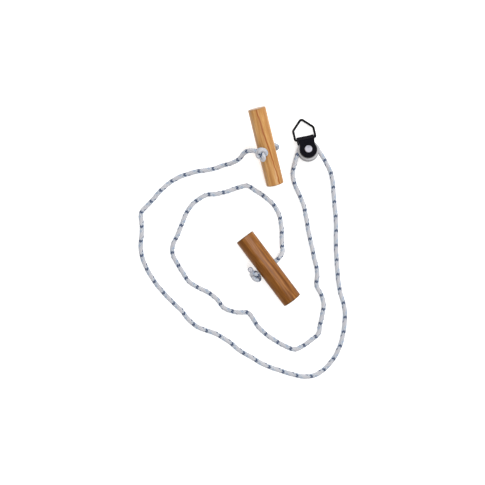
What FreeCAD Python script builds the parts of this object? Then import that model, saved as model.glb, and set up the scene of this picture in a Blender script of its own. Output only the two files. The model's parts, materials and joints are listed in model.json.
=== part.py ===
import FreeCAD, Part
import math
import os

from FreeCAD import Placement, Rotation, Vector

# A hand exercise set: one rope over a small strap pulley that hangs from a ring, with a
# wooden handle on each end of the rope. It is laid out on a table. Lengths are millimetres.
# The row frame has its origin on the table, under the middle of the box round the pulley and
# the handles. +Z is up, and +Y runs from the bottom of the layout to its top.

# ---- Rope, knots and their heat-sealed ends ----
ROPE_R = 3.4
ROPE_GAP = 0.4  # between the rope and the groove of the sheave, which turns beside it
KNOT_R = 9.5
INNER_KNOT_R = 10.8  # the knot above handle A, which is pulled less tight
KNOT_LENGTH = 13.5
KNOT_GAP = 0.35  # between a knot and the handle that turns against it
TIP_REACH_A = 15.0  # from a knot's middle to the sealed end of the rope's tail
TIP_REACH_B = 19.5
LAST_RUN = 6.5  # straight rope at the mouth of handle B's hole
ARC_SHARE = 0.45  # part of the shorter of two runs that the arc between them takes

# The rope's route, as corners that its arcs pass inside. A point with no height lies on the
# table. Run A starts in handle A's inner knot and ends at the right of the sheave. Run B
# starts at the left of the sheave and ends at the mouth of handle B's hole.
RUN_A = [
    (-31.5, 78.0, 38.5), (-41.0, 79.5, 33.5), (-48.5, 77.5, 26.5), (-55.5, 68.0, 18.5),
    (-67.5, 63.5, 10.5), (-79.0, 61.5, 5.2), (-93.5, 56.0), (-106.5, 54.5), (-121.0, 52.0),
    (-135.5, 47.5), (-147.5, 42.5), (-159.5, 34.0), (-169.0, 25.5), (-178.5, 14.0),
    (-188.0, 3.5), (-198.0, -5.5), (-197.0, -19.5), (-195.5, -32.0), (-197.5, -47.5),
    (-198.0, -60.5), (-195.0, -74.0), (-189.0, -88.5), (-177.5, -107.5), (-165.0, -122.5),
    (-148.5, -139.5), (-138.0, -148.5), (-130.5, -160.0), (-118.0, -171.0), (-105.5, -176.5),
    (-93.5, -179.5), (-79.5, -187.0), (-65.5, -196.5), (-55.0, -206.5), (-39.5, -214.5),
    (-21.0, -226.5), (3.5, -235.0), (26.5, -242.0), (42.5, -244.5), (58.5, -240.5),
    (74.5, -227.0), (87.0, -208.5), (94.0, -188.5), (97.5, -163.5), (97.5, -144.5),
    (90.5, -123.0), (87.5, -104.0), (85.5, -78.0), (84.0, -50.5), (85.0, -20.5), (82.0, 7.0),
    (80.5, 32.0), (78.0, 49.0, 4.2), (69.7, 64.4, 9.0),
]
RUN_B = [
    (21.5, 53.5, 5.2), (22.5, 39.5), (29.5, 23.0), (37.5, 6.5), (41.5, -14.0),
    (45.0, -36.0), (50.0, -57.5), (54.0, -77.5), (58.5, -94.0), (55.0, -112.0),
    (63.5, -125.0), (67.5, -139.5), (64.0, -158.5), (61.0, -169.5), (60.5, -181.5),
    (48.5, -191.0), (32.5, -202.5), (22.5, -205.0), (9.0, -199.0), (-9.0, -188.5),
    (-25.5, -175.5), (-35.0, -161.5), (-41.5, -150.0), (-53.0, -151.5), (-66.0, -149.5),
    (-78.5, -145.0), (-87.5, -131.0), (-100.5, -121.5), (-118.0, -113.5), (-129.5, -106.0),
    (-140.5, -87.5), (-151.5, -70.0), (-153.0, -55.5), (-144.0, -38.5), (-136.0, -17.0),
    (-129.0, -1.0), (-117.5, 11.0), (-102.5, 20.0), (-87.5, 20.0), (-71.0, 24.5),
    (-56.0, 30.0), (-43.5, 33.5), (-30.5, 24.0), (-17.0, 15.5), (-4.5, 4.0),
    (3.0, -10.0), (6.0, -27.5), (6.2, -44.5, 4.2), (6.3, -56.5, 7.5), (7.7, -63.0, 11.0),
]

# ---- Pulley block, in its own frame: the origin is the middle of the axle, +Z runs along
# the axle to its upper end, and +Y points to the ring ----
SHEAVE_R = 14.8
GROOVE_ROOT_R = 9.3
RIM_HALF = 4.6
RIM_LAND = 0.7  # width of each flange at its edge
RIM_EDGE = 0.2  # chamfer of each flange
HUB_R = 6.5
HUB_HALF = 4.9
WEB_HALF = 4.1
WEB_OUTER_R = 12.6

CHEEK_GAP = 11.2  # between the strap's two cheeks, inside
STRAP_THICK = 2.0
STRAP_END_R = 12.3
STRAP_HALF = 12.5
STRAP_ROUND = 20.0  # degrees past its middle to which each end of the strap stays round
NECK_HALF = 10.9
NECK_Y = 8.5
SHOULDER_Y = 15.5  # where the strap is back to its full width
LEG_SLOPE = 36.0  # degrees: each leg leans in from its cheek to the fold by this much
KNEE_R = 2.5  # middle of the strap's thickness, at the bend from cheek to leg

RIVET_R = 2.5
RIVET_HOLE_R = 2.55
HEAD_R = 5.5
HEAD_HIGH = 2.2
BURR_HIGH = 1.1
SET_HEAD_R = 4.0
SET_HEAD_HIGH = 1.3
EDGE_R = 0.5
SLEEVE_R = 4.0
SLEEVE_PLAY = 0.06
WASHER_R = 6.4
WASHER_HIGH = 0.4

WIRE_R = 1.7
WIRE_PLAY = 0.3  # all round, between the ring's base bar and the fold of the strap
BAR_Y = 18.9  # from the axle to the ring's base bar
RING_HALF = 14.9
RING_SIDE = 15.0
RING_APEX = 30.2
RING_CORNER_R = 2.0
RING_SHOULDER_R = 4.0
RING_APEX_R = 3.0

# Where the block lies: the axle's place on the table, and how far +Y is turned from the
# row's +Y. The rope meets the sheave at these angles from the block's +X.
AXLE_X = 43.6
AXLE_Y = 81.5
HEADING = 11.5
ROPE_ON = 19.5
ROPE_OFF = 150.0
FREE_RUN = 13.0  # straight rope past each place where it meets the sheave
WRAP_CORNERS = 3

# ---- Wooden handles: dowels with a cross hole for the rope ----
HOLE_R = 4.0
HANDLE_EDGE_R = 1.2
HANDLE_A_R = 12.6
HANDLE_A_LENGTH = 111.0
HANDLE_A_OFFSET = 6.0  # from its hole to its middle, towards the raised end
HANDLE_A_HOLE = (-16.1, 79.8)
HANDLE_A_TURN = 104.7  # degrees from +X to the raised end, on the table
HANDLE_A_LEAN = 62.0  # degrees from level to its hole, which points left and up
HANDLE_B_R = 14.2
HANDLE_B_LENGTH = 113.8
HANDLE_B_OFFSET = -2.2
HANDLE_B_HOLE = (-15.0, -85.4)
HANDLE_B_TURN = 127.0
TAIL_B_RISE = math.radians(50.0)  # how steeply the tail of knot B rises along the handle


def line(start, end):
    return Part.LineSegment(start, end).toShape()


def unit(vector):
    return vector / vector.Length


def arc_at(before, corner, after, trim):
    """The arc that leaves both runs this far from their corner: its start, middle, end and
    radius."""
    back = unit(before - corner)
    ahead = unit(after - corner)
    half_turn = (math.pi - back.getAngle(ahead)) / 2
    radius = trim / math.tan(half_turn)
    middle = corner + unit(back + ahead) * (radius / math.cos(half_turn) - radius)
    return corner + back * trim, middle, corner + ahead * trim, radius


def turn_at(before, corner, after):
    return math.pi - (before - corner).getAngle(after - corner)


def rope_path(points):
    """The edges of a route of straight runs and arcs, and the radius of each arc."""
    edges = []
    radii = []
    start = points[0]
    for before, corner, after in zip(points, points[1:], points[2:]):
        trim = ARC_SHARE * min((before - corner).Length, (after - corner).Length)
        into, middle, out, radius = arc_at(before, corner, after, trim)
        edges.append(line(start, into))
        edges.append(Part.Arc(into, middle, out).toShape())
        radii.append(radius)
        start = out
    edges.append(line(start, points[-1]))
    return edges, radii


def closed_path(points, radii):
    """A closed wire through these corners, each rounded by its own radius. It starts on the
    last run."""
    corners = []
    for i, radius in enumerate(radii):
        before = points[i - 1]
        after = points[(i + 1) % len(points)]
        trim = radius * math.tan(turn_at(before, points[i], after) / 2)
        corners.append(arc_at(before, points[i], after, trim))
    edges = []
    for i, (into, middle, out, _) in enumerate(corners):
        edges.append(line(corners[i - 1][2], into))
        edges.append(Part.Arc(into, middle, out).toShape())
    return Part.Wire(edges)


def swept(edges, radius):
    """A round bar of this radius along edges that follow each other."""
    first = edges[0]
    start = first.valueAt(first.FirstParameter)
    circle = Part.Circle(start, first.tangentAt(first.FirstParameter), radius)
    section = Part.Wire([circle.toShape()])
    return Part.Wire(edges).makePipeShell([section], True, False)


def revolved(edges, axis):
    return Part.Face(Part.Wire(edges)).revolve(Vector(0, 0, 0), axis, 360)


def disc(radius, low, high, hole=0.0):
    """A disc or a ring about +Z, from one height to the other."""
    solid = Part.makeCylinder(radius, high - low, Vector(0, 0, low))
    if hole:
        solid = solid.cut(Part.makeCylinder(hole, high - low, Vector(0, 0, low)))
    return solid


def rounded(solid, radius, height):
    """The solid with its outermost circle at this height rounded off."""
    rims = [e for e in solid.Edges if isinstance(e.Curve, Part.Circle)]
    rims = [e for e in rims if abs(e.Curve.Center.z - height) < 1e-6]
    return solid.makeFillet(radius, [max(rims, key=lambda e: e.Curve.Radius)])


# ---- How the block lies ----
# Its strap and its rivet both touch the table. The lowest part of the strap is the outside
# of the lower knee, and that of the rivet is the rim of its set head, so the tilt is the
# angle at which the two reach equally far down.
CHEEK_OUT = CHEEK_GAP / 2 + STRAP_THICK
FOLD_R = WIRE_R + WIRE_PLAY + STRAP_THICK / 2
SLOPE = math.radians(LEG_SLOPE)
KNEE_Z = CHEEK_GAP / 2 + STRAP_THICK / 2 - KNEE_R
KNEE_Y = BAR_Y + (FOLD_R - KNEE_R - KNEE_Z * math.cos(SLOPE)) / math.sin(SLOPE)
KNEE_OUT_R = KNEE_R + STRAP_THICK / 2
SET_TOP = CHEEK_OUT + BURR_HIGH + SET_HEAD_HIGH
RIM_Y = SET_HEAD_R - EDGE_R
RIM_Z = SET_TOP - EDGE_R
ALONG = KNEE_Y - RIM_Y
DOWN = RIM_Z - KNEE_Z
TILT = math.acos((KNEE_OUT_R - EDGE_R) / math.hypot(ALONG, DOWN)) - math.atan2(ALONG, DOWN)
AXLE_Z = RIM_Y * math.sin(TILT) + RIM_Z * math.cos(TILT) + EDGE_R

AXLE = Vector(AXLE_X, AXLE_Y, AXLE_Z)
BLOCK = Placement(
    AXLE,
    Rotation(Vector(0, 0, 1), HEADING) * Rotation(Vector(1, 0, 0), -math.degrees(TILT)),
)

# The ring has swung down from its base bar until its apex lies on the table too.
APEX_HALF_ANGLE = math.atan2(RING_HALF, RING_APEX - RING_SIDE)
APEX_REACH = RING_APEX - RING_APEX_R * (1 / math.sin(APEX_HALF_ANGLE) - 1)
BAR_Z = AXLE_Z - BAR_Y * math.sin(TILT)
RING_DROP = math.asin((BAR_Z - WIRE_R) / APEX_REACH)
RING_LIFT = math.degrees(TILT - RING_DROP)  # from the block's +Y up to the ring


def strap_side(offset):
    """The strap's side view at this distance outside the middle of its thickness, from the
    end of the upper cheek to the end of the lower one."""
    knee = KNEE_R + offset
    fold = FOLD_R + offset
    cheek_z = KNEE_Z + knee
    lean = Vector(0, math.sin(SLOPE), math.cos(SLOPE))
    knee_middle = Vector(0, math.sin(SLOPE / 2), math.cos(SLOPE / 2))
    knee_centre = Vector(0, KNEE_Y, KNEE_Z)
    end = Vector(0, -STRAP_END_R - 1, cheek_z)
    knee_in = Vector(0, KNEE_Y, cheek_z)
    knee_out = knee_centre + lean * knee
    fold_in = Vector(0, BAR_Y, 0) + lean * fold
    upper = [
        line(end, knee_in),
        Part.Arc(knee_in, knee_centre + knee_middle * knee, knee_out).toShape(),
        line(knee_out, fold_in),
    ]
    lower = [edge.mirror(Vector(0, 0, 0), Vector(0, 0, 1)) for edge in upper]
    below = Vector(0, fold_in.y, -fold_in.z)
    turn = Part.Arc(fold_in, Vector(0, BAR_Y + fold, 0), below).toShape()
    return upper + [turn] + lower


def strap():
    """One strip of steel folded round the ring's bar, with a round end on each cheek."""
    half = STRAP_THICK / 2
    cut_y = -STRAP_END_R - 1
    ends = [
        line(Vector(0, cut_y, z * (CHEEK_GAP / 2)), Vector(0, cut_y, z * CHEEK_OUT))
        for z in (1, -1)
    ]
    edges = Part.sortEdges(strap_side(half) + strap_side(-half) + ends)[0]
    sheet = Part.Face(Part.Wire(edges)).extrude(Vector(2 * STRAP_HALF + 2, 0, 0))
    sheet.translate(Vector(-STRAP_HALF - 1, 0, 0))

    round_end = math.radians(STRAP_ROUND)
    end_x = STRAP_END_R * math.cos(round_end)
    end_y = STRAP_END_R * math.sin(round_end)
    top_y = BAR_Y + 2 * FOLD_R
    right = [
        Vector(end_x, end_y, 0),
        Vector(NECK_HALF, NECK_Y, 0),
        Vector(STRAP_HALF, SHOULDER_Y, 0),
    ]
    left = [Vector(-p.x, p.y, 0) for p in right]
    outline = [
        Part.Arc(left[0], Vector(0, -STRAP_END_R, 0), right[0]).toShape(),
        Part.Arc(*right).toShape(),
        line(right[2], Vector(STRAP_HALF, top_y, 0)),
        line(Vector(STRAP_HALF, top_y, 0), Vector(-STRAP_HALF, top_y, 0)),
        line(Vector(-STRAP_HALF, top_y, 0), left[2]),
        Part.Arc(left[2], left[1], left[0]).toShape(),
    ]
    blank = Part.Face(Part.Wire(outline)).extrude(Vector(0, 0, 2 * CHEEK_OUT + 2))
    blank.translate(Vector(0, 0, -CHEEK_OUT - 1))
    return sheet.common(blank).cut(disc(RIVET_HOLE_R, -CHEEK_OUT - 1, CHEEK_OUT + 1))


def delta_ring():
    """The round wire ring in the block's frame, swung down to where it rests."""
    corners = [
        Vector(-RING_HALF, 0, 0),
        Vector(RING_HALF, 0, 0),
        Vector(RING_HALF, RING_SIDE, 0),
        Vector(0, RING_APEX, 0),
        Vector(-RING_HALF, RING_SIDE, 0),
    ]
    radii = [RING_CORNER_R, RING_CORNER_R, RING_SHOULDER_R, RING_APEX_R, RING_SHOULDER_R]
    wire = closed_path(corners, radii)
    solid = swept(wire.Edges, WIRE_R)
    solid.rotate(Vector(0, 0, 0), Vector(1, 0, 0), RING_LIFT)
    solid.translate(Vector(0, BAR_Y, 0))
    return solid


def sheave():
    """A moulded wheel with a round groove and a raised hub on each face."""
    land = RIM_HALF - RIM_LAND
    bore = SLEEVE_R + SLEEVE_PLAY
    half = [
        Vector(SHEAVE_R, 0, land),
        Vector(SHEAVE_R, 0, RIM_HALF - RIM_EDGE),
        Vector(SHEAVE_R - RIM_EDGE, 0, RIM_HALF),
        Vector(WEB_OUTER_R, 0, RIM_HALF),
        Vector(WEB_OUTER_R - (RIM_HALF - WEB_HALF), 0, WEB_HALF),
        Vector(HUB_R, 0, WEB_HALF),
        Vector(HUB_R, 0, HUB_HALF),
        Vector(bore, 0, HUB_HALF),
    ]
    other = [Vector(p.x, 0, -p.z) for p in reversed(half)]
    outline = half + other
    edges = [line(a, b) for a, b in zip(outline, outline[1:])]
    groove = Part.Arc(outline[-1], Vector(GROOVE_ROOT_R, 0, 0), outline[0]).toShape()
    return revolved(edges + [groove], Vector(0, 0, 1))


def axle_rivet():
    """A flat factory head above, the shank, and a set head on its burr below."""
    head_top = CHEEK_OUT + HEAD_HIGH
    head = rounded(disc(HEAD_R, CHEEK_OUT, head_top), 2 * EDGE_R, head_top)
    set_low = -SET_TOP
    set_head = rounded(disc(SET_HEAD_R, set_low, set_low + SET_HEAD_HIGH), EDGE_R, set_low)
    shank = disc(RIVET_R, set_low + SET_HEAD_HIGH, CHEEK_OUT)
    return head.fuse([shank, set_head]).removeSplitter()


def block_pieces():
    """The pulley's pieces where they lie, by name."""
    washer_bore = SLEEVE_R + SLEEVE_PLAY
    inside = CHEEK_GAP / 2
    pieces = {
        "strap": strap(),
        "delta_ring": delta_ring(),
        "sheave": sheave(),
        "axle_rivet": axle_rivet(),
        "rivet_burr": disc(HEAD_R, -CHEEK_OUT - BURR_HIGH, -CHEEK_OUT, RIVET_HOLE_R),
        "axle_sleeve": disc(SLEEVE_R, -inside, inside, RIVET_HOLE_R),
        "thrust_washer_upper": disc(WASHER_R, inside - WASHER_HIGH, inside, washer_bore),
        "thrust_washer_lower": disc(WASHER_R, -inside, WASHER_HIGH - inside, washer_bore),
    }
    return {name: solid.transformed(BLOCK.toMatrix()) for name, solid in pieces.items()}


def wrap_points():
    """The rope's corners over the sheave, from right to left, with a straight run at each end."""
    pitch_r = GROOVE_ROOT_R + ROPE_R + ROPE_GAP
    step = math.radians(ROPE_OFF - ROPE_ON) / WRAP_CORNERS
    corner_r = pitch_r / math.cos(step / 2)
    on = math.radians(ROPE_ON)
    off = math.radians(ROPE_OFF)
    points = [Vector(pitch_r * math.cos(on) + FREE_RUN * math.sin(on),
                     pitch_r * math.sin(on) - FREE_RUN * math.cos(on), 0)]
    for i in range(WRAP_CORNERS):
        angle = on + (i + 0.5) * step
        points.append(Vector(corner_r * math.cos(angle), corner_r * math.sin(angle), 0))
    points.append(Vector(pitch_r * math.cos(off) - FREE_RUN * math.sin(off),
                         pitch_r * math.sin(off) + FREE_RUN * math.cos(off), 0))
    return [BLOCK.multVec(p) for p in points]


def on_table(points):
    return [Vector(p[0], p[1], p[2] if len(p) > 2 else ROPE_R) for p in points]


def handle(radius, length, offset):
    """A dowel along +X with rounded ends. Its cross hole runs along +Z through the origin."""
    dowel = Part.makeCylinder(radius, length, Vector(offset - length / 2, 0, 0), Vector(1, 0, 0))
    rims = [e for e in dowel.Edges if isinstance(e.Curve, Part.Circle)]
    dowel = dowel.makeFillet(HANDLE_EDGE_R, rims)
    return dowel.cut(Part.makeCylinder(HOLE_R, 2 * radius + 2, Vector(0, 0, -radius - 1)))


def knot(start, radius):
    """A knot's outer shape about +Z from this height, with a flat face of the rope's size at
    each end."""
    end = start + KNOT_LENGTH
    side = Part.Arc(
        Vector(ROPE_R, 0, start), Vector(radius, 0, (start + end) / 2), Vector(ROPE_R, 0, end)
    ).toShape()
    edges = [
        line(Vector(0, 0, start), Vector(ROPE_R, 0, start)),
        side,
        line(Vector(ROPE_R, 0, end), Vector(0, 0, end)),
        line(Vector(0, 0, end), Vector(0, 0, start)),
    ]
    return revolved(edges, Vector(0, 0, 1))


def tip(middle, direction, reach, lump):
    """The rope's tail out of a knot, with its sealed end rounded over."""
    stub = Part.makeCylinder(ROPE_R, reach, middle, direction)
    end = middle + unit(direction) * reach
    rims = [e for e in stub.Edges if isinstance(e.Curve, Part.Circle)]
    rims = [e for e in rims if (e.Curve.Center - end).Length < 1e-3]
    return stub.makeFillet(2 * EDGE_R, rims).cut(lump)


def frame_of(along, hole, origin):
    """The placement that turns +X along the handle and +Z along its hole."""
    return Placement(origin, Rotation(along, hole.cross(along), hole, "ZXY"))


# Handle A lies on its outer knot and on the rim of its lower end. Its height at the hole is
# what the knot gives it, and its pitch is what is left for the lower end to touch the table.
A_TURN = math.radians(HANDLE_A_TURN)
A_LEAN = math.radians(HANDLE_A_LEAN)
KNOT_START_A = HANDLE_A_R + KNOT_GAP
KNOT_MIDDLE_A = KNOT_START_A + KNOT_LENGTH / 2
A_LOWER_ARM = HANDLE_A_LENGTH / 2 - HANDLE_A_OFFSET
KNOT_ARC_R = ((KNOT_LENGTH / 2) ** 2 + (KNOT_R - ROPE_R) ** 2) / (2 * (KNOT_R - ROPE_R))


def handle_a_pose(pitch):
    """The handle's direction, its hole's direction, and how high its hole must be for its
    outer knot to touch the table."""
    along = Vector(
        math.cos(A_TURN) * math.cos(pitch), math.sin(A_TURN) * math.cos(pitch), math.sin(pitch)
    )
    level = Vector(-math.sin(A_TURN), math.cos(A_TURN), 0)
    upright = along.cross(level)
    hole = level * math.cos(A_LEAN) + upright * math.sin(A_LEAN)
    lean_out = math.sqrt(1 - hole.z ** 2)
    reach = KNOT_MIDDLE_A * hole.z + KNOT_ARC_R - (KNOT_ARC_R - KNOT_R) * lean_out
    return along, hole, reach


def handle_a_pitch():
    """The pitch at which the knot and the lower end both touch the table, found by bisection."""
    low = 0.0
    high = math.radians(40)
    for _ in range(40):
        pitch = (low + high) / 2
        height = handle_a_pose(pitch)[2]
        end_z = height - A_LOWER_ARM * math.sin(pitch) - HANDLE_A_R * math.cos(pitch)
        if end_z > 0:
            low = pitch
        else:
            high = pitch
    return pitch


def main():
    os.makedirs("parts", exist_ok=True)
    solids = block_pieces()

    # Handle A, its rope and its knots.
    along_a, hole_a, height_a = handle_a_pose(handle_a_pitch())
    centre_a = Vector(HANDLE_A_HOLE[0], HANDLE_A_HOLE[1], height_a)
    place_a = frame_of(along_a, hole_a, centre_a).toMatrix()
    solids["handle_a"] = handle(HANDLE_A_R, HANDLE_A_LENGTH, HANDLE_A_OFFSET).transformed(place_a)
    inside_a = disc(ROPE_R, -KNOT_START_A, KNOT_START_A)
    solids["rope_in_handle_a"] = inside_a.transformed(place_a)
    inner = knot(KNOT_START_A, INNER_KNOT_R).transformed(place_a)
    outer = knot(-KNOT_START_A - KNOT_LENGTH, KNOT_R).transformed(place_a)
    solids["knot_a_inner"] = inner
    solids["knot_a_outer"] = outer
    tail_a = Vector(0, 0, 1).cross(hole_a) * -1
    solids["rope_tip_a"] = tip(
        centre_a - hole_a * KNOT_MIDDLE_A, tail_a, TIP_REACH_A, outer
    )

    # Handle B lies flat with its hole level.
    b_turn = math.radians(HANDLE_B_TURN)
    along_b = Vector(math.cos(b_turn), math.sin(b_turn), 0)
    hole_b = Vector(-math.sin(b_turn), math.cos(b_turn), 0)
    centre_b = Vector(HANDLE_B_HOLE[0], HANDLE_B_HOLE[1], HANDLE_B_R)
    place_b = frame_of(along_b, hole_b, centre_b).toMatrix()
    knot_start_b = HANDLE_B_R + KNOT_GAP
    solids["handle_b"] = handle(HANDLE_B_R, HANDLE_B_LENGTH, HANDLE_B_OFFSET).transformed(place_b)
    solids["rope_in_handle_b"] = disc(ROPE_R, -knot_start_b, knot_start_b).transformed(place_b)
    stopper = knot(knot_start_b, KNOT_R).transformed(place_b)
    solids["knot_b"] = stopper
    knot_middle_b = centre_b + hole_b * (knot_start_b + KNOT_LENGTH / 2)
    tail_b = along_b * math.cos(TAIL_B_RISE) + Vector(0, 0, math.sin(TAIL_B_RISE))
    solids["rope_tip_b"] = tip(knot_middle_b, tail_b, TIP_REACH_B, stopper)

    # The rope itself, from inside handle A's inner knot to the mouth of handle B's hole.
    knot_middle = centre_a + hole_a * KNOT_MIDDLE_A
    mouth_b = centre_b - hole_b * knot_start_b
    route = [knot_middle] + on_table(RUN_A) + wrap_points() + on_table(RUN_B)
    route += [mouth_b - hole_b * LAST_RUN, mouth_b]
    edges, radii = rope_path(route)
    tube = swept(edges, ROPE_R)
    length = sum(edge.Length for edge in edges)
    print(f"rope centreline {length:.1f} mm, tube volume over section times length "
          f"{tube.Volume / (math.pi * ROPE_R ** 2 * length):.4f}")
    runs = [(b - a).Length for a, b in zip(route, route[1:])]
    print(f"runs {min(runs):.1f} to {max(runs):.1f} mm")
    print("radii", " ".join(f"{r:.0f}" for r in radii))
    solids["rope"] = tube.cut(inner)

    for name, solid in solids.items():
        if len(solid.Solids) == 1:
            solid = solid.Solids[0]
        print(f"{name:22s} valid {solid.isValid()} volume {solid.Volume:9.1f}")
        solid.exportStep(f"parts/{name}.step")

    print(f"tilt {math.degrees(TILT):.2f} axle height {AXLE_Z:.2f} ring lift {RING_LIFT:.2f}")
    print(f"handle A pitch {math.degrees(handle_a_pitch()):.2f} hole height {height_a:.2f}")
    lift = math.radians(RING_LIFT)
    ring_out = Vector(0, math.cos(lift), math.sin(lift))
    bar = BLOCK.multVec(Vector(0, BAR_Y, 0))
    for name, vector in (
        ("axle axis", BLOCK.Rotation.multVec(Vector(0, 0, 1))),
        ("axle", AXLE),
        ("bar axis", BLOCK.Rotation.multVec(Vector(1, 0, 0))),
        ("bar", bar),
        ("ring apex", bar + BLOCK.Rotation.multVec(ring_out * APEX_REACH)),
        ("ring direction", BLOCK.Rotation.multVec(ring_out)),
        ("hole A", centre_a),
        ("hole A axis", hole_a),
        ("handle A direction", along_a),
        ("hole B", centre_b),
        ("hole B axis", hole_b),
        ("handle B direction", along_b),
    ):
        print(f"{name}: {vector.x:.5f} {vector.y:.5f} {vector.z:.5f}")


main()
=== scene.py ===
import json
import math

import bpy
import numpy as np
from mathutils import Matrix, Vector


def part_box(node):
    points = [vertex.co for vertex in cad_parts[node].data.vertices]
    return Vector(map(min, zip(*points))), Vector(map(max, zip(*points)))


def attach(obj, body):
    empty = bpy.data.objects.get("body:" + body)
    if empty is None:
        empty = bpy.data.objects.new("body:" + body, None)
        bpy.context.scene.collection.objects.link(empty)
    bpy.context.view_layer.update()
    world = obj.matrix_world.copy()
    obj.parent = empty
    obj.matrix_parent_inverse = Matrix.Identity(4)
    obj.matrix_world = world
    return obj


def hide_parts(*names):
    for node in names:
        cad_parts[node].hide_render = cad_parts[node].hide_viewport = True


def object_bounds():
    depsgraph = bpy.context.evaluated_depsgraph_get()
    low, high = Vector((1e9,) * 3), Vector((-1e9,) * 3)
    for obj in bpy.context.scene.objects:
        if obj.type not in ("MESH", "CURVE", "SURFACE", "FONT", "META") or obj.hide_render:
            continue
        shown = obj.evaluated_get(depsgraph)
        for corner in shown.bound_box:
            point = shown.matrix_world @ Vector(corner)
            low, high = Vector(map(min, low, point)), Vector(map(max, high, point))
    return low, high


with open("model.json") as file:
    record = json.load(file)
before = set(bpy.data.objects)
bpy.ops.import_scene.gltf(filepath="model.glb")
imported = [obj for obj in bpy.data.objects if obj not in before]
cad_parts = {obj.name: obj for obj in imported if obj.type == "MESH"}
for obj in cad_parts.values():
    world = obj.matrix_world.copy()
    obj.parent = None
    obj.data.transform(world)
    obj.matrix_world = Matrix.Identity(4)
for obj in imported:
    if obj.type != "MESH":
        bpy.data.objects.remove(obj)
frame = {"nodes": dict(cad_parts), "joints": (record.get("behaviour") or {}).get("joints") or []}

# The looks of a hand exercise pulley set laid out on a table: a strap pulley on a wire ring,
# one braided rope over its sheave, and a wooden handle knotted on each end of the rope.
# Everything is in metres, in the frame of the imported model.

CAD_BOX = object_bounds()
JOINTS = {joint["name"]: joint for joint in frame["joints"]}

# ---- Camera and light ----
CAMERA_HEIGHT = 1.05
VIEW_WIDTH = 0.70325  # of the table, across the whole picture
SENSOR = 36.0
AIM = (-0.0006, 0.0030)  # from the middle of the object's box to the middle of the view
FLOOR_Z = -0.0003
FLOOR_HALF = 3.0

# ---- Rope ----
ROPE_R = 0.0034
LAST_RUN = 0.0065
FREE_RUN = 0.013
GROOVE_GAP = 0.0004
GROOVE_ROOT_R = 0.0093
ROPE_ON = math.radians(19.5)
ROPE_OFF = math.radians(150.0)
WRAP_CORNERS = 3
KNOT_GAP = 0.00035  # between a handle and a knot, or the rope, at the mouth of its hole
# Corners of the rope's route. One with no height lies on the table. Run A starts in handle
# A's inner knot and ends at the right of the sheave. Run B starts at its left and ends at the
# mouth of handle B's hole.
RUN_A = [
    (-0.0315, 0.0780, 0.0385), (-0.0410, 0.0795, 0.0335), (-0.0485, 0.0775, 0.0265),
    (-0.0555, 0.0680, 0.0185), (-0.0675, 0.0635, 0.0105), (-0.0790, 0.0615, 0.0052),
    (-0.0935, 0.0560), (-0.1065, 0.0545), (-0.1210, 0.0520), (-0.1355, 0.0475),
    (-0.1475, 0.0425), (-0.1595, 0.0340), (-0.1690, 0.0255), (-0.1785, 0.0140),
    (-0.1880, 0.0035), (-0.1980, -0.0055), (-0.1970, -0.0195), (-0.1955, -0.0320),
    (-0.1975, -0.0475), (-0.1980, -0.0605), (-0.1950, -0.0740), (-0.1890, -0.0885),
    (-0.1775, -0.1075), (-0.1650, -0.1225), (-0.1485, -0.1395), (-0.1380, -0.1485),
    (-0.1305, -0.1600), (-0.1180, -0.1710), (-0.1055, -0.1765), (-0.0935, -0.1795),
    (-0.0795, -0.1870), (-0.0655, -0.1965), (-0.0550, -0.2065), (-0.0395, -0.2145),
    (-0.0210, -0.2265), (0.0035, -0.2350), (0.0265, -0.2420), (0.0425, -0.2445),
    (0.0585, -0.2405), (0.0745, -0.2270), (0.0870, -0.2085), (0.0940, -0.1885),
    (0.0975, -0.1635), (0.0975, -0.1445), (0.0905, -0.1230), (0.0875, -0.1040),
    (0.0855, -0.0780), (0.0840, -0.0505), (0.0850, -0.0205), (0.0820, 0.0070),
    (0.0805, 0.0320), (0.0780, 0.0490, 0.0042), (0.0697, 0.0644, 0.0090),
]
RUN_B = [
    (0.0215, 0.0535, 0.0052), (0.0225, 0.0395), (0.0295, 0.0230), (0.0375, 0.0065),
    (0.0415, -0.0140), (0.0450, -0.0360), (0.0500, -0.0575), (0.0540, -0.0775),
    (0.0585, -0.0940), (0.0550, -0.1120), (0.0635, -0.1250), (0.0675, -0.1395),
    (0.0640, -0.1585), (0.0610, -0.1695), (0.0605, -0.1815), (0.0485, -0.1910),
    (0.0325, -0.2025), (0.0225, -0.2050), (0.0090, -0.1990), (-0.0090, -0.1885),
    (-0.0255, -0.1755), (-0.0350, -0.1615), (-0.0415, -0.1500), (-0.0530, -0.1515),
    (-0.0660, -0.1495), (-0.0785, -0.1450), (-0.0875, -0.1310), (-0.1005, -0.1215),
    (-0.1180, -0.1135), (-0.1295, -0.1060), (-0.1405, -0.0875), (-0.1515, -0.0700),
    (-0.1530, -0.0555), (-0.1440, -0.0385), (-0.1360, -0.0170), (-0.1290, -0.0010),
    (-0.1175, 0.0110), (-0.1025, 0.0200), (-0.0875, 0.0200), (-0.0710, 0.0245),
    (-0.0560, 0.0300), (-0.0435, 0.0335), (-0.0305, 0.0240), (-0.0170, 0.0155),
    (-0.0045, 0.0040), (0.0030, -0.0100), (0.0060, -0.0275), (0.0062, -0.0445, 0.0042),
    (0.0063, -0.0565, 0.0075), (0.0077, -0.0630, 0.0110),
]

# ---- Braid: strands of both hands, each over two and under two ----
BRAID_PITCH = 0.0210  # along the rope, for one turn of a strand
STRANDS = 6  # of each hand
FLOAT = 2  # strands that one strand passes over, and then under
BRAID_DEPTH = 0.0004
TRACER_START = -0.02  # pitches, where the rope's own count of them starts
WARM_WHITE = (0.53, 0.49, 0.49)
ROPE_SIDES = 32
ROPE_RINGS = 2800
SHORT_RINGS = 60  # in a handle, and along a tail

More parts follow.
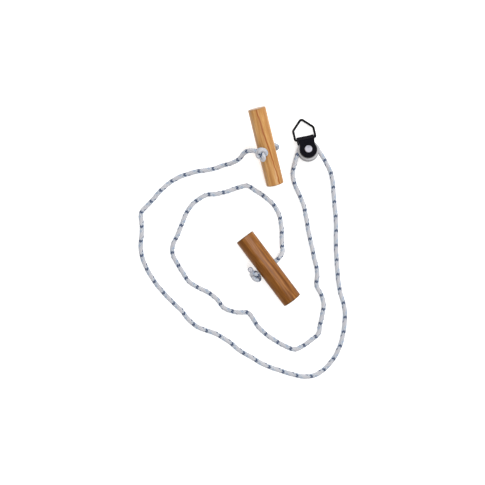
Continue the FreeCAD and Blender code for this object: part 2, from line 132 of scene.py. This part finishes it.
# ---- Knots, and the sealed ends of the rope ----
KNOT_SIDES = 24
KNOT_RINGS = 420
KNOT_STRAND_R = 0.0031
KNOT_SWING = 0.0029  # how far the winding goes in and out
KNOT_RISE = 0.0036  # and how far to each side along the knot's axis
KNOT_REACH = 0.0095  # from the knot's axis to the outside of its winding
INNER_KNOT_REACH = 0.0108
TIP_REACH_A = 0.015  # from a knot's middle to the sealed end of the rope's tail
TIP_REACH_B = 0.0125  # beside the knot, before the tail turns up
TIP_RISE_B = 0.0146
SEAL_SIDES = 28
# The melted end, from where it grips the braid in to its middle: its radius as a share of the
# rope's, and how far it stands past the end of the braid.
SEAL_PROFILE = [
    (0.97, -0.0012), (1.09, -0.0007), (1.12, -0.0001), (1.03, 0.0003), (0.8, 0.0005), (0.5, 0.0006),
]


def axis_of(name):
    return Vector(JOINTS[name]["axis"]).normalized()


def place_of(name):
    return Vector(JOINTS[name]["pos_m"])


def middle_of(node):
    low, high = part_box(node)
    return (Vector(low) + Vector(high)) / 2


# The pulley block's own frame, as its two joints give it: +Z along the axle, +Y to the ring.
AXLE = place_of("sheave_spin")
BLOCK_X = axis_of("ring_swing")
BLOCK_Z = axis_of("sheave_spin")
BLOCK_Y = BLOCK_Z.cross(BLOCK_X)
HOLE_A = axis_of("handle_a_swivel")
HOLE_B = axis_of("handle_b_swivel")
CENTRE_A = place_of("handle_a_swivel")
CENTRE_B = place_of("handle_b_swivel")
UP = Vector((0, 0, 1))


# ---------------------------------------------------------------- camera, light and floor

def add_camera():
    low, high = (Vector(corner) for corner in CAD_BOX)
    middle = (low + high) / 2
    data = bpy.data.cameras.new("camera")
    data.sensor_width = SENSOR
    data.lens = SENSOR * CAMERA_HEIGHT / VIEW_WIDTH
    camera = bpy.data.objects.new("camera", data)
    camera.location = (middle.x + AIM[0], middle.y + AIM[1], CAMERA_HEIGHT)
    bpy.context.collection.objects.link(camera)
    bpy.context.scene.camera = camera


def add_light(name, location, aim, size, power):
    data = bpy.data.lights.new(name, "AREA")
    data.shape = "RECTANGLE"
    data.size, data.size_y = size
    data.energy = power
    light = bpy.data.objects.new(name, data)
    light.location = location
    light.rotation_euler = (Vector(aim) - Vector(location)).to_track_quat("-Z", "Y").to_euler()
    light.visible_camera = False
    bpy.context.collection.objects.link(light)


def add_surroundings():
    world = bpy.data.worlds.new("studio")
    world.use_nodes = True
    background = world.node_tree.nodes["Background"]
    background.inputs["Color"].default_value = (1, 1, 1, 1)
    background.inputs["Strength"].default_value = 0.82
    bpy.context.scene.world = world
    bpy.context.scene.view_settings.view_transform = "Standard"

    # A broad soft light from beyond the pulley, and a small one over the table that puts a
    # streak of gloss along the varnished handles.
    add_light("key", (0.75, 0.85, 1.2), (0, 0, 0), (0.7, 0.7), 15)
    add_light("overhead", (0.10, -0.25, 1.6), (0, 0, 0), (0.35, 0.35), 5)

    mesh = bpy.data.meshes.new("floor")
    corners = [(-1, -1), (1, -1), (1, 1), (-1, 1)]
    vertices = [(x * FLOOR_HALF, y * FLOOR_HALF, FLOOR_Z) for x, y in corners]
    mesh.from_pydata(vertices, [], [(0, 1, 2, 3)])
    floor = bpy.data.objects.new("floor", mesh)
    bpy.context.collection.objects.link(floor)
    graph = Graph("floor")
    graph.settings(roughness=0.9, specular=0.2)
    inputs = graph.shader.inputs
    inputs["Base Color"].default_value = (0.9, 0.9, 0.9, 1)
    inputs["Emission Color"].default_value = (1, 1, 1, 1)
    inputs["Emission Strength"].default_value = 0.37
    mesh.materials.append(graph.material)


# ---------------------------------------------------------------- materials

class Graph:
    """A material's node tree, with short calls for the nodes that the patterns use."""

    def __init__(self, name):
        self.material = bpy.data.materials.new(name)
        self.material.use_nodes = True
        self.tree = self.material.node_tree
        self.shader = self.tree.nodes["Principled BSDF"]

    def settings(self, roughness=None, metallic=0.0, specular=0.5, coat=0.0, coat_roughness=0.1):
        inputs = self.shader.inputs
        if roughness is not None:
            inputs["Roughness"].default_value = roughness
        inputs["Metallic"].default_value = metallic
        inputs["Specular IOR Level"].default_value = specular
        inputs["Coat Weight"].default_value = coat
        inputs["Coat Roughness"].default_value = coat_roughness

    def put(self, value, socket):
        if isinstance(value, bpy.types.NodeSocket):
            self.tree.links.new(value, socket)
        else:
            socket.default_value = value

    def node(self, kind, **properties):
        node = self.tree.nodes.new(kind)
        for name, value in properties.items():
            setattr(node, name, value)
        return node

    def math(self, operation, a, b=0.0, c=0.0):
        node = self.node("ShaderNodeMath", operation=operation)
        for value, socket in zip((a, b, c), node.inputs):
            self.put(value, socket)
        return node.outputs[0]

    def dot(self, vector, direction):
        node = self.node("ShaderNodeVectorMath", operation="DOT_PRODUCT")
        self.put(vector, node.inputs[0])
        node.inputs[1].default_value = direction
        return node.outputs["Value"]

    def combine(self, x, y, z):
        node = self.node("ShaderNodeCombineXYZ")
        for value, socket in zip((x, y, z), node.inputs):
            self.put(value, socket)
        return node.outputs[0]

    def noise(self, vector, scale, detail=3.0, roughness=0.5):
        node = self.node("ShaderNodeTexNoise")
        self.put(vector, node.inputs["Vector"])
        node.inputs["Scale"].default_value = scale
        node.inputs["Detail"].default_value = detail
        node.inputs["Roughness"].default_value = roughness
        return node.outputs["Fac"]

    def mix(self, factor, a, b):
        node = self.node("ShaderNodeMix", data_type="RGBA")
        self.put(factor, node.inputs["Factor"])
        for value, socket in ((a, node.inputs[6]), (b, node.inputs[7])):
            self.put((*value, 1) if isinstance(value, tuple) else value, socket)
        return node.outputs[2]

    def pick(self, factor, a, b):
        node = self.node("ShaderNodeMix", data_type="FLOAT")
        self.put(factor, node.inputs["Factor"])
        self.put(a, node.inputs[2])
        self.put(b, node.inputs[3])
        return node.outputs[0]

    def smooth(self, value, low, high):
        """0 at low, 1 at high, and smooth between them."""
        node = self.node("ShaderNodeMapRange", interpolation_type="SMOOTHSTEP")
        self.put(value, node.inputs["Value"])
        node.inputs["From Min"].default_value = low
        node.inputs["From Max"].default_value = high
        return node.outputs["Result"]

    def colour(self, value):
        self.put(value, self.shader.inputs["Base Color"])

    def bump(self, height, distance, strength=1.0):
        node = self.node("ShaderNodeBump")
        node.inputs["Strength"].default_value = strength
        node.inputs["Distance"].default_value = distance
        self.put(height, node.inputs["Height"])
        self.put(node.outputs["Normal"], self.shader.inputs["Normal"])

    def position(self):
        return self.node("ShaderNodeTexCoord").outputs["Object"]

    def along_axes(self, origin, axes):
        """The place from this origin, measured along each of these axes."""
        node = self.node("ShaderNodeVectorMath", operation="SUBTRACT")
        self.put(self.position(), node.inputs[0])
        node.inputs[1].default_value = origin
        return [self.dot(node.outputs[0], axis) for axis in axes]

    def radius(self, x, y):
        """The distance from an axis, given the places across it in two directions."""
        squares = self.math("ADD", self.math("MULTIPLY", x, x), self.math("MULTIPLY", y, y))
        return self.math("SQRT", squares)

    def scaled(self, values, factors):
        return self.combine(*(self.math("MULTIPLY", v, f) for v, f in zip(values, factors)))


def braid_material():
    """White braid with one dark blue yarn, laid out in the braid UV map: U counts strand
    pitches along the rope and V goes once round it."""
    graph = Graph("braided_rope")
    split = graph.node("ShaderNodeSeparateXYZ")
    graph.put(graph.node("ShaderNodeUVMap", uv_map="braid").outputs[0], split.inputs[0])
    along, around = split.outputs[0], split.outputs[1]
    right = graph.math("MULTIPLY", graph.math("SUBTRACT", along, around), STRANDS)
    left = graph.math("MULTIPLY", graph.math("ADD", along, around), STRANDS)
    right_id = graph.math("FLOOR", right)
    left_id = graph.math("FLOOR", left)
    turn = graph.math("FLOORED_MODULO", graph.math("ADD", right_id, left_id), 2.0 * FLOAT)
    right_on_top = graph.math("LESS_THAN", turn, FLOAT - 0.5)

    def crown(value):
        """1 in the middle of a strand and 0 at its edges."""
        across = graph.math("MULTIPLY_ADD", graph.math("FRACT", value), 2.0, -1.0)
        return graph.math("SUBTRACT", 1.0, graph.math("MULTIPLY", across, across))

    height = graph.pick(right_on_top, crown(left), crown(right))
    fine_along = graph.pick(right_on_top, right, left)
    fine_across = graph.pick(right_on_top, left, right)
    yarn = graph.noise(graph.scaled((fine_across, fine_along, 0.0), (9.0, 0.9, 0.0)), 1.0, 2.0)
    cloudy = graph.noise(graph.position(), 45.0, 2.0)
    white = graph.mix(graph.smooth(cloudy, 0.35, 0.65), (0.42, 0.455, 0.51), (0.51, 0.54, 0.585))
    white = graph.mix(graph.smooth(yarn, 0.30, 0.62), (0.36, 0.39, 0.44), white)
    # Painted shade: the grooves between the strands are darkened where the crowns dip.
    white = graph.mix(graph.smooth(height, 0.0, 0.55), (0.18, 0.195, 0.24), white)
    # Two right-hand strands side by side are dark blue, and the next one is pale blue. The
    # white warms a little away from them.
    strand = graph.math("FLOORED_MODULO", right_id, float(STRANDS))
    away = graph.math("ABSOLUTE", graph.math("SUBTRACT", strand, 0.5))
    white = graph.mix(graph.math("MULTIPLY", graph.smooth(away, 1.5, 3.5), 0.4), white, WARM_WHITE)
    beside = graph.math("MULTIPLY", graph.math("COMPARE", strand, 2.0, 0.5), right_on_top)
    tinted = graph.mix(graph.math("MULTIPLY", beside, 0.45), white, (0.18, 0.28, 0.43))
    is_tracer = graph.math("MULTIPLY", graph.math("LESS_THAN", strand, 1.5), right_on_top)
    is_tracer = graph.math("MULTIPLY", is_tracer, graph.smooth(crown(right), 0.1, 0.5))
    blue = graph.mix(graph.smooth(yarn, 0.35, 0.75), (0.012, 0.026, 0.070), (0.052, 0.092, 0.185))
    graph.colour(graph.mix(is_tracer, tinted, blue))
    graph.settings(roughness=0.62, specular=0.25)
    graph.shader.inputs["Sheen Weight"].default_value = 0.1
    graph.bump(graph.math("MULTIPLY_ADD", yarn, 0.8, height), 0.00022)
    return graph.material


def handle_axes(name):
    """A handle's length, to its raised or left end, and its level side direction."""
    vertices = np.array([v.co for v in frame["nodes"][name].data.vertices])
    spread = np.linalg.svd(vertices - vertices.mean(axis=0), full_matrices=False)[2]
    along = Vector(spread[0])
    if along.y < 0:
        along = -along
    return along, along.cross(UP).normalized()


def wood_material(name, node, centre, tones, grain_and_side_shading, painted_highlight):
    """Straight grain along a turned dowel. Tones are its light, middle, dark and end colours.
    Each streak has its place across the dowel, its lean, its half width, its colour and its
    strength; some streaks are grain, and some are painted shade or painted light down one side.
    The painted highlight is a pale band painted along the top of the dowel where a gloss streak
    falls: its place across, its half width, where along the dowel it starts and is full, its
    colour and its strength."""
    graph = Graph(name)
    along, side = handle_axes(node)
    places = [(v.co - centre).dot(along) for v in frame["nodes"][node].data.vertices]
    length, across, height = graph.along_axes(centre, (along, side, side.cross(along)))
    light, middle, dark, end = tones

    wander = graph.noise(graph.scaled((length, across, height), (9.0, 1.0, 1.0)), 6.0)
    broad = graph.scaled((length, across, height), (16.0, 230.0, 230.0))
    broad = graph.noise(broad, 1.6, 5.0, 0.66)
    fine = graph.scaled((length, across, height), (60.0, 1500.0, 1500.0))
    fine = graph.noise(fine, 1.0, 3.0, 0.6)
    colour = graph.mix(graph.smooth(broad, 0.36, 0.58), dark, middle)
    colour = graph.mix(graph.smooth(broad, 0.50, 0.66), colour, light)
    colour = graph.mix(graph.math("MULTIPLY", graph.smooth(fine, 0.35, 0.75), 0.45), colour, dark)
    drift = graph.math("MULTIPLY_ADD", wander, 0.004, -0.002)
    drifted = graph.math("ADD", across, drift)
    for place, lean, width, streak, strength in grain_and_side_shading:
        middle_line = graph.math("MULTIPLY_ADD", length, lean, place)
        off = graph.math("SUBTRACT", drifted, middle_line)
        outside = graph.smooth(graph.math("ABSOLUTE", off), width * 0.2, width)
        facing_up = graph.smooth(height, -0.002, 0.002)
        over = graph.math("MULTIPLY", graph.math("SUBTRACT", 1.0, outside), facing_up)
        colour = graph.mix(graph.math("MULTIPLY", over, strength), colour, streak)
    # The painted highlight: a pale band along the top of the dowel, dotted by the fine grain, painted where
    # the gloss streak of the overhead light falls.
    place, width, start, full, highlight_colour, strength = painted_highlight
    off = graph.math("ABSOLUTE", graph.math("SUBTRACT", drifted, place))
    highlight_band = graph.math("SUBTRACT", 1.0, graph.smooth(off, 0.0, width))
    highlight_band = graph.math("MULTIPLY", highlight_band, graph.smooth(length, start, full))
    highlight_band = graph.math("MULTIPLY", highlight_band, graph.smooth(height, 0.0, 0.006))
    highlight_band = graph.math("MULTIPLY", highlight_band, graph.pick(graph.smooth(fine, 0.3, 0.7), 0.35, 1.0))
    colour = graph.mix(graph.math("MULTIPLY", highlight_band, strength), colour, highlight_colour)
    to_top = graph.smooth(length, max(places) - 0.0016, max(places) - 0.0004)
    to_bottom = graph.smooth(length, min(places) + 0.0018, min(places) + 0.0004)
    ends = graph.math("MULTIPLY", graph.math("MAXIMUM", to_top, to_bottom), 0.75)
    graph.colour(graph.mix(ends, colour, end))
    rough = graph.math("MULTIPLY_ADD", broad, 0.12, 0.30)
    graph.put(rough, graph.shader.inputs["Roughness"])
    graph.bump(fine, 0.00006, 0.5)
    return graph


def light_wood():
    tones = (
        (0.58, 0.335, 0.128), (0.48, 0.248, 0.082), (0.37, 0.17, 0.050), (0.27, 0.15, 0.07),
    )
    grain_and_side_shading = [
        (0.0027, -0.077, 0.0014, (0.27, 0.075, 0.014), 0.95),
        (-0.0042, -0.01, 0.0010, (0.36, 0.15, 0.04), 0.45),
        (0.0088, -0.02, 0.0018, (0.33, 0.14, 0.04), 0.55),
        # Painted shade: a greyer, darker band down the left edge of the handle.
        (-0.0105, 0.0, 0.0022, (0.30, 0.19, 0.10), 0.5),
    ]
    # Painted highlight: a pale band just right of the middle, strongest towards the lower end, where the
    # gloss streak falls.
    painted_highlight = (0.0030, 0.0026, -0.015, -0.045, (0.66, 0.47, 0.29), 0.6)
    graph = wood_material("light_wood", "handle_a", CENTRE_A, tones, grain_and_side_shading, painted_highlight)
    graph.settings(coat=0.16, coat_roughness=0.26, specular=0.10)
    return graph.material


def dark_wood():
    tones = (
        (0.36, 0.150, 0.034), (0.235, 0.086, 0.014), (0.120, 0.038, 0.005), (0.070, 0.040, 0.020),
    )
    grain_and_side_shading = [
        # Painted shade: the left half of the handle darkened, on the side away from the key light.
        (-0.0090, 0.0, 0.0085, (0.150, 0.052, 0.007), 0.6),
        # Painted light: the right side of the handle lightened, on the side towards the key light.
        (0.0105, 0.0, 0.0030, (0.30, 0.125, 0.035), 0.4),
    ]
    # Painted highlight: a pinkish band near the middle of the handle, strongest towards its upper end,
    # where the gloss streak falls.
    painted_highlight = (0.0018, 0.0058, -0.075, 0.015, (0.36, 0.190, 0.115), 0.6)
    graph = wood_material("dark_wood", "handle_b", CENTRE_B, tones, grain_and_side_shading, painted_highlight)
    graph.settings(coat=0.12, coat_roughness=0.36, specular=0.06)
    return graph.material


def metal_material(name, colour, worn, share, roughness, metallic, specular):
    """Painted or plated steel, uneven in colour and gloss. Share is how much of it has the
    worn colour."""
    graph = Graph(name)
    cloudy = graph.noise(graph.position(), 190.0, 4.0, 0.6)
    fine = graph.noise(graph.position(), 2200.0, 2.0)
    graph.colour(graph.mix(graph.smooth(cloudy, 0.72 - share, 0.85 - share), colour, worn))
    rough = graph.math("MULTIPLY_ADD", cloudy, 0.2, roughness - 0.1)
    graph.put(rough, graph.shader.inputs["Roughness"])
    graph.settings(metallic=metallic, specular=specular)
    graph.bump(fine, 0.00003, 0.6)
    return graph.material


def strap_material():
    """Black paint, rubbed a little thin along the edges of the strap."""
    graph = Graph("black_paint")
    across, along, _ = graph.along_axes(AXLE, (BLOCK_X, BLOCK_Y, BLOCK_Z))
    radial = graph.radius(across, along)
    to_side = graph.smooth(graph.math("ABSOLUTE", across), 0.0113, 0.0126)
    round_end = graph.smooth(radial, 0.0113, 0.0124)
    to_end = graph.math("MULTIPLY", round_end, graph.smooth(along, 0.004, 0.0))
    fold = graph.smooth(along, 0.0195, 0.0222)
    edge = graph.math("MAXIMUM", graph.math("MAXIMUM", to_side, to_end), fold)
    patchy = graph.noise(graph.position(), 420.0, 4.0, 0.65)
    rubbed = graph.math("MULTIPLY", edge, graph.smooth(patchy, 0.45, 0.65))
    fine = graph.noise(graph.position(), 1600.0, 2.0)
    black = graph.smooth(patchy, 0.3, 0.7)
    black = graph.mix(black, (0.0016, 0.0013, 0.0032), (0.0034, 0.0030, 0.0062))
    graph.colour(graph.mix(graph.math("MULTIPLY", rubbed, 0.35), black, (0.055, 0.054, 0.058)))
    graph.put(graph.math("MULTIPLY_ADD", patchy, 0.25, 0.25), graph.shader.inputs["Roughness"])
    graph.settings(specular=0.045)
    graph.bump(fine, 0.00005, 0.6)
    return graph.material


def nylon_material(name, shade):
    """Moulded nylon, a little cloudy, with fine turning marks round the axle."""
    graph = Graph(name)
    across, along, _ = graph.along_axes(AXLE, (BLOCK_X, BLOCK_Y, BLOCK_Z))
    radial = graph.radius(across, along)
    rings = graph.noise(graph.combine(graph.math("MULTIPLY", radial, 3200.0), 0.0, 0.0), 1.0, 2.0)
    cloudy = graph.noise(graph.position(), 220.0, 3.0)
    low = tuple(0.86 * c for c in shade)
    graph.colour(graph.mix(graph.smooth(cloudy, 0.3, 0.7), low, shade))
    graph.put(graph.math("MULTIPLY_ADD", cloudy, 0.2, 0.35), graph.shader.inputs["Roughness"])
    graph.settings(specular=0.4)
    graph.bump(rings, 0.00004, 0.5)
    return graph.material


def melted_material(name, end, direction):
    """The melted end of the rope: grey, with a dark dotted rim where its yarns have fused."""
    graph = Graph(name)
    across, other, _ = graph.along_axes(end, (*cross_directions(direction), direction))
    radial = graph.radius(across, other)
    to_rim = graph.smooth(radial, 0.6 * ROPE_R, 1.0 * ROPE_R)
    cloudy = graph.noise(graph.position(), 620.0, 3.0)
    specks = graph.noise(graph.position(), 900.0, 2.0)
    dots = graph.smooth(graph.math("MULTIPLY_ADD", to_rim, 0.22, specks), 0.58, 0.66)
    colour = graph.mix(graph.smooth(cloudy, 0.35, 0.65), (0.34, 0.34, 0.37), (0.50, 0.50, 0.54))
    colour = graph.mix(graph.math("MULTIPLY", dots, 0.85), colour, (0.05, 0.06, 0.11))
    graph.colour(colour)
    graph.settings(roughness=0.4, specular=0.4)
    graph.bump(cloudy, 0.0003, 0.8)
    return graph.material


def paint(material, *nodes):
    for name in nodes:
        node = frame["nodes"][name]
        if not node.material_slots:
            node.data.materials.append(material)
        for place in node.material_slots:
            place.material = material


def paint_nodes():
    paint(strap_material(), "strap")
    wire = metal_material(
        "black_wire", colour=(0.002, 0.002, 0.003), worn=(0.006, 0.006, 0.008), share=0.25,
        roughness=0.35, metallic=0.0, specular=0.06,
    )
    paint(wire, "delta_ring")
    steel = metal_material(
        "plated_steel", colour=(0.365, 0.36, 0.405), worn=(0.28, 0.28, 0.32), share=0.2,
        roughness=0.5, metallic=1.0, specular=0.5,
    )
    paint(steel, "axle_rivet", "rivet_burr", "axle_sleeve")
    paint(nylon_material("white_nylon", (0.43, 0.425, 0.44)), "sheave")
    paint(nylon_material("washer_nylon", (0.50, 0.50, 0.48)), "thrust_washer_upper", "thrust_washer_lower")
    paint(light_wood(), "handle_a")
    paint(dark_wood(), "handle_b")


# ---------------------------------------------------------------- braided tubes

def resampled(points, count):
    """This many points, evenly spaced along a line, and how far along it each one is."""
    points = np.asarray(points, float)
    steps = np.linalg.norm(np.diff(points, axis=0), axis=1)
    length = np.concatenate([[0.0], np.cumsum(steps)])
    wanted = np.linspace(0.0, length[-1], count)
    line = np.stack([np.interp(wanted, length, points[:, k]) for k in range(3)], axis=1)
    return line, wanted


def carried_frames(line, closed):
    """Two cross directions along a line, carried with no twist of their own. On a closed line
    the twist that is left over is spread evenly along it."""
    if closed:
        tangents = np.roll(line, -1, axis=0) - np.roll(line, 1, axis=0)
    else:
        tangents = np.gradient(line, axis=0)
    tangents /= np.linalg.norm(tangents, axis=1)[:, None]
    start = np.array([0.0, 0.0, 1.0])
    if abs(tangents[0] @ start) > 0.9:
        start = np.array([1.0, 0.0, 0.0])
    first = np.empty_like(line)
    normal = start - tangents[0] * (tangents[0] @ start)
    for i, tangent in enumerate(tangents):
        normal = normal - tangent * (tangent @ normal)
        normal = normal / np.linalg.norm(normal)
        first[i] = normal
    second = np.cross(tangents, first)
    if closed:
        back = first[-1] - tangents[0] * (tangents[0] @ first[-1])
        angle = math.atan2(back @ second[0], back @ first[0])
        turn = -angle * np.arange(len(line)) / len(line)
        c = np.cos(turn)[:, None]
        s = np.sin(turn)[:, None]
        first, second = first * c + second * s, second * c - first * s
    return first, second


def braid_relief(along, around):
    """How high the braid stands, from 0 to 1, at pitches along and turns around the rope. Each
    strand is crowned, and dips at both ends of its float over the strands it crosses."""
    right = STRANDS * (along - around)
    left = STRANDS * (along + around)
    turn = np.mod(np.floor(right) + np.floor(left), 2 * FLOAT)
    right_on_top = turn < FLOAT - 0.5
    across = np.where(right_on_top, np.mod(right, 1), np.mod(left, 1)) * 2 - 1
    right_float = np.mod(np.floor(right) + left, 2 * FLOAT)
    left_float = np.mod(right + np.floor(left), 2 * FLOAT) - FLOAT
    end = np.where(right_on_top, right_float, left_float) * 2 / FLOAT - 1
    return (1 - across ** 2) * (1 - 0.6 * end ** 2)


def braided_tube(name, line, radius, rings, sides, start_pitch=0.0, closed=False):
    """A tube of braid along a line, with flat ends, or closed on itself."""
    if closed:
        line = np.vstack([line, line[:1]])
    points, along = resampled(line, rings + 1 if closed else rings)
    total = along[-1]
    if closed:
        points = points[:-1]
        along = along[:-1]
    first, second = carried_frames(points, closed)
    pitch = total / max(1, round(total / BRAID_PITCH)) if closed else BRAID_PITCH
    pitches = start_pitch + along / pitch
    turns = np.arange(sides) / sides
    reach = radius - BRAID_DEPTH * (1 - braid_relief(pitches[:, None], turns[None, :]))
    angle = 2 * math.pi * turns
    cosines = np.cos(angle)[None, :, None]
    sines = np.sin(angle)[None, :, None]
    out = first[:, None, :] * cosines + second[:, None, :] * sines
    vertices = (points[:, None, :] + out * reach[:, :, None]).reshape(-1, 3)

    count = len(points)
    rows = count if closed else count - 1
    i, k = np.meshgrid(np.arange(rows), np.arange(sides), indexing="ij")
    j = (i + 1) % count
    m = (k + 1) % sides
    corners = [i * sides + k, i * sides + m, j * sides + m, j * sides + k]
    faces = np.stack(corners, axis=-1).reshape(-1, 4).tolist()
    step = total / pitch / rows
    low_u = start_pitch + i * step
    low_v = k / sides
    places = [(0, 0), (0, 1), (1, 1), (1, 0)]
    loops = [np.stack([low_u + a * step, low_v + b / sides], axis=-1) for a, b in places]
    uv = np.stack(loops, axis=2).reshape(-1, 2)
    if not closed:
        first_end = list(range(sides))[::-1]
        last_end = list(range((count - 1) * sides, count * sides))
        faces += [first_end, last_end]
        uv = np.concatenate([uv, [(pitches[0], 0.5)] * sides, [(pitches[-1], 0.5)] * sides])
    mesh = bpy.data.meshes.new(name)
    mesh.from_pydata(vertices.tolist(), [], faces)
    mesh.uv_layers.new(name="braid").data.foreach_set("uv", uv.astype(np.float32).ravel())
    mesh.polygons.foreach_set("use_smooth", [True] * len(faces))
    mesh.materials.append(BRAID)
    piece = bpy.data.objects.new(name, mesh)
    bpy.context.collection.objects.link(piece)
    return piece, points


def finish_piece(piece, *nodes):
    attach(piece, "pulley_and_rope")
    if nodes:
        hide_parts(*nodes)
    return piece


# ---------------------------------------------------------------- the rope's route

def wrap_points():
    """The rope's corners over the sheave, from right to left, with a straight run each side."""
    pitch_r = GROOVE_ROOT_R + ROPE_R + GROOVE_GAP
    step = (ROPE_OFF - ROPE_ON) / WRAP_CORNERS
    corner_r = pitch_r / math.cos(step / 2)
    flat = [(pitch_r * math.cos(ROPE_ON) + FREE_RUN * math.sin(ROPE_ON),
             pitch_r * math.sin(ROPE_ON) - FREE_RUN * math.cos(ROPE_ON))]
    for i in range(WRAP_CORNERS):
        angle = ROPE_ON + (i + 0.5) * step
        flat.append((corner_r * math.cos(angle), corner_r * math.sin(angle)))
    flat.append((pitch_r * math.cos(ROPE_OFF) - FREE_RUN * math.sin(ROPE_OFF),
                 pitch_r * math.sin(ROPE_OFF) + FREE_RUN * math.cos(ROPE_OFF)))
    return [AXLE + BLOCK_X * x + BLOCK_Y * y for x, y in flat]


def on_table(points):
    return [Vector((p[0], p[1], p[2] if len(p) > 2 else ROPE_R)) for p in points]


def smooth_line(points):
    """Close points along the NURBS curve that has these as its control points."""
    data = bpy.data.curves.new("route", "CURVE")
    data.dimensions = "3D"
    data.resolution_u = 14
    spline = data.splines.new("NURBS")
    spline.points.add(len(points) - 1)
    for point, place in zip(spline.points, points):
        point.co = (*place, 1)
    spline.order_u = 3
    spline.use_endpoint_u = True
    curve = bpy.data.objects.new("route", data)
    mesh = bpy.data.meshes.new_from_object(curve)
    line = np.array([v.co for v in mesh.vertices])
    bpy.data.objects.remove(curve)
    bpy.data.meshes.remove(mesh)
    return line


def hole_reach(handle, axis):
    """From the middle of a handle's hole to the face of the knot or the rope at its mouth."""
    along = handle_axes(handle)[0]
    ends = [v.co.dot(along.cross(axis)) for v in frame["nodes"][handle].data.vertices]
    return (max(ends) - min(ends)) / 2 + KNOT_GAP


def add_rope():
    mouth = CENTRE_B - HOLE_B * hole_reach("handle_b", HOLE_B)
    route = [middle_of("knot_a_inner")] + on_table(RUN_A) + wrap_points() + on_table(RUN_B)
    route += [mouth - HOLE_B * LAST_RUN, mouth]
    line = smooth_line(route)
    rope, path = braided_tube("rope_braid", line, ROPE_R, ROPE_RINGS, ROPE_SIDES, TRACER_START)
    finish_piece(rope, "rope")
    return rope, path


# ---------------------------------------------------------------- knots and ends

def cross_directions(axis):
    side = axis.cross(UP)
    if side.length < 0.1:
        side = axis.cross(Vector((1, 0, 0)))
    side.normalize()
    return side, axis.cross(side)


def add_knot(node, axis, reach, turn, start_pitch, oval):
    """An overhand knot pulled tight about this axis: the rope wound as a trefoil. Oval is how
    far it is drawn out across the layout, and along it."""
    other = (Vector((0, 1, 0)) - axis * axis.y).normalized()
    side = other.cross(axis)
    middle = middle_of(node)
    lobe = reach - KNOT_STRAND_R - KNOT_SWING
    points = []
    for i in range(KNOT_RINGS):
        t = 2 * math.pi * i / KNOT_RINGS
        out = lobe + KNOT_SWING * math.cos(3 * t)
        angle = 2 * t + turn
        flat = side * (math.cos(angle) * oval[0]) + other * (math.sin(angle) * oval[1])
        points.append(middle + flat * out + axis * (KNOT_RISE * math.sin(3 * t)))
    piece, _ = braided_tube(
        f"{node}_braid", points, KNOT_STRAND_R, KNOT_RINGS, KNOT_SIDES, start_pitch, closed=True)
    return finish_piece(piece, node)


def add_through(node, handle, centre, axis):
    """The rope inside a handle's hole."""
    reach = axis * hole_reach(handle, axis)
    line = np.array([centre - reach, centre + reach])
    piece, _ = braided_tube(f"{node}_braid", line, ROPE_R, SHORT_RINGS, ROPE_SIDES)
    return finish_piece(piece, node)


def add_seal(name, end, direction):
    """The melted end of the rope, a low lumpy dome that spreads a little past the braid."""
    side, other = cross_directions(direction)
    vertices = []
    for share, past in SEAL_PROFILE:
        for k in range(SEAL_SIDES):
            angle = 2 * math.pi * k / SEAL_SIDES
            lumps = 1 + 0.025 * math.sin(5 * angle + 1) + 0.015 * math.sin(9 * angle)
            out = (side * math.cos(angle) + other * math.sin(angle)) * (ROPE_R * share * lumps)
            vertices.append(end + out + direction * past)
    vertices.append(end + direction * SEAL_PROFILE[-1][1])
    faces = []
    for i in range(len(SEAL_PROFILE) - 1):
        for k in range(SEAL_SIDES):
            m = (k + 1) % SEAL_SIDES
            low = i * SEAL_SIDES
            high = low + SEAL_SIDES
            faces.append((low + k, low + m, high + m, high + k))
    last = (len(SEAL_PROFILE) - 1) * SEAL_SIDES
    faces += [(last + k, last + (k + 1) % SEAL_SIDES, len(vertices) - 1) for k in range(SEAL_SIDES)]
    faces.append(tuple(range(SEAL_SIDES))[::-1])
    mesh = bpy.data.meshes.new(name)
    mesh.from_pydata(vertices, [], faces)
    mesh.polygons.foreach_set("use_smooth", [True] * len(faces))
    mesh.materials.append(melted_material(name, end, direction))
    piece = bpy.data.objects.new(name, mesh)
    bpy.context.collection.objects.link(piece)
    return finish_piece(piece)


def add_tip(node, knot, bend, reach):
    """The rope's tail out of a knot, with its melted end. It sets off towards the bend and
    ends at the reach, both measured from the knot's middle."""
    start = middle_of(knot)
    direction = (reach - bend).normalized()
    end = start + reach - direction * SEAL_PROFILE[-1][1]
    line = smooth_line([start, start + bend, end])
    piece, _ = braided_tube(f"{node}_braid", line, ROPE_R, SHORT_RINGS, ROPE_SIDES)
    return [finish_piece(piece, node), add_seal(f"{node}_seal", end, direction)]


def main():
    add_camera()
    add_surroundings()
    paint_nodes()
    rope, path = add_rope()
    tail_a = HOLE_A.cross(UP).normalized()
    along_b = Vector((HOLE_B.y, -HOLE_B.x, 0))
    bend_b = along_b * (0.9 * TIP_REACH_B) + UP * (0.3 * TIP_RISE_B)
    reach_b = along_b * TIP_REACH_B + UP * TIP_RISE_B
    pieces = [
        add_knot("knot_a_inner", HOLE_A, INNER_KNOT_REACH, turn=-1.45, start_pitch=0.25, oval=(0.80, 1.05)),
        add_knot("knot_a_outer", HOLE_A, KNOT_REACH, turn=0.3, start_pitch=0.5, oval=(1.25, 1.05)),
        add_knot("knot_b", HOLE_B, KNOT_REACH, turn=0.9, start_pitch=0.5, oval=(1.0, 1.08)),
        add_through("rope_in_handle_a", "handle_a", CENTRE_A, HOLE_A),
        add_through("rope_in_handle_b", "handle_b", CENTRE_B, HOLE_B),
    ]
    reach_a = tail_a * TIP_REACH_A
    pieces += add_tip("rope_tip_a", "knot_a_outer", reach_a / 2, reach_a)
    pieces += add_tip("rope_tip_b", "knot_b", bend_b, reach_b)


BRAID = braid_material()
main()
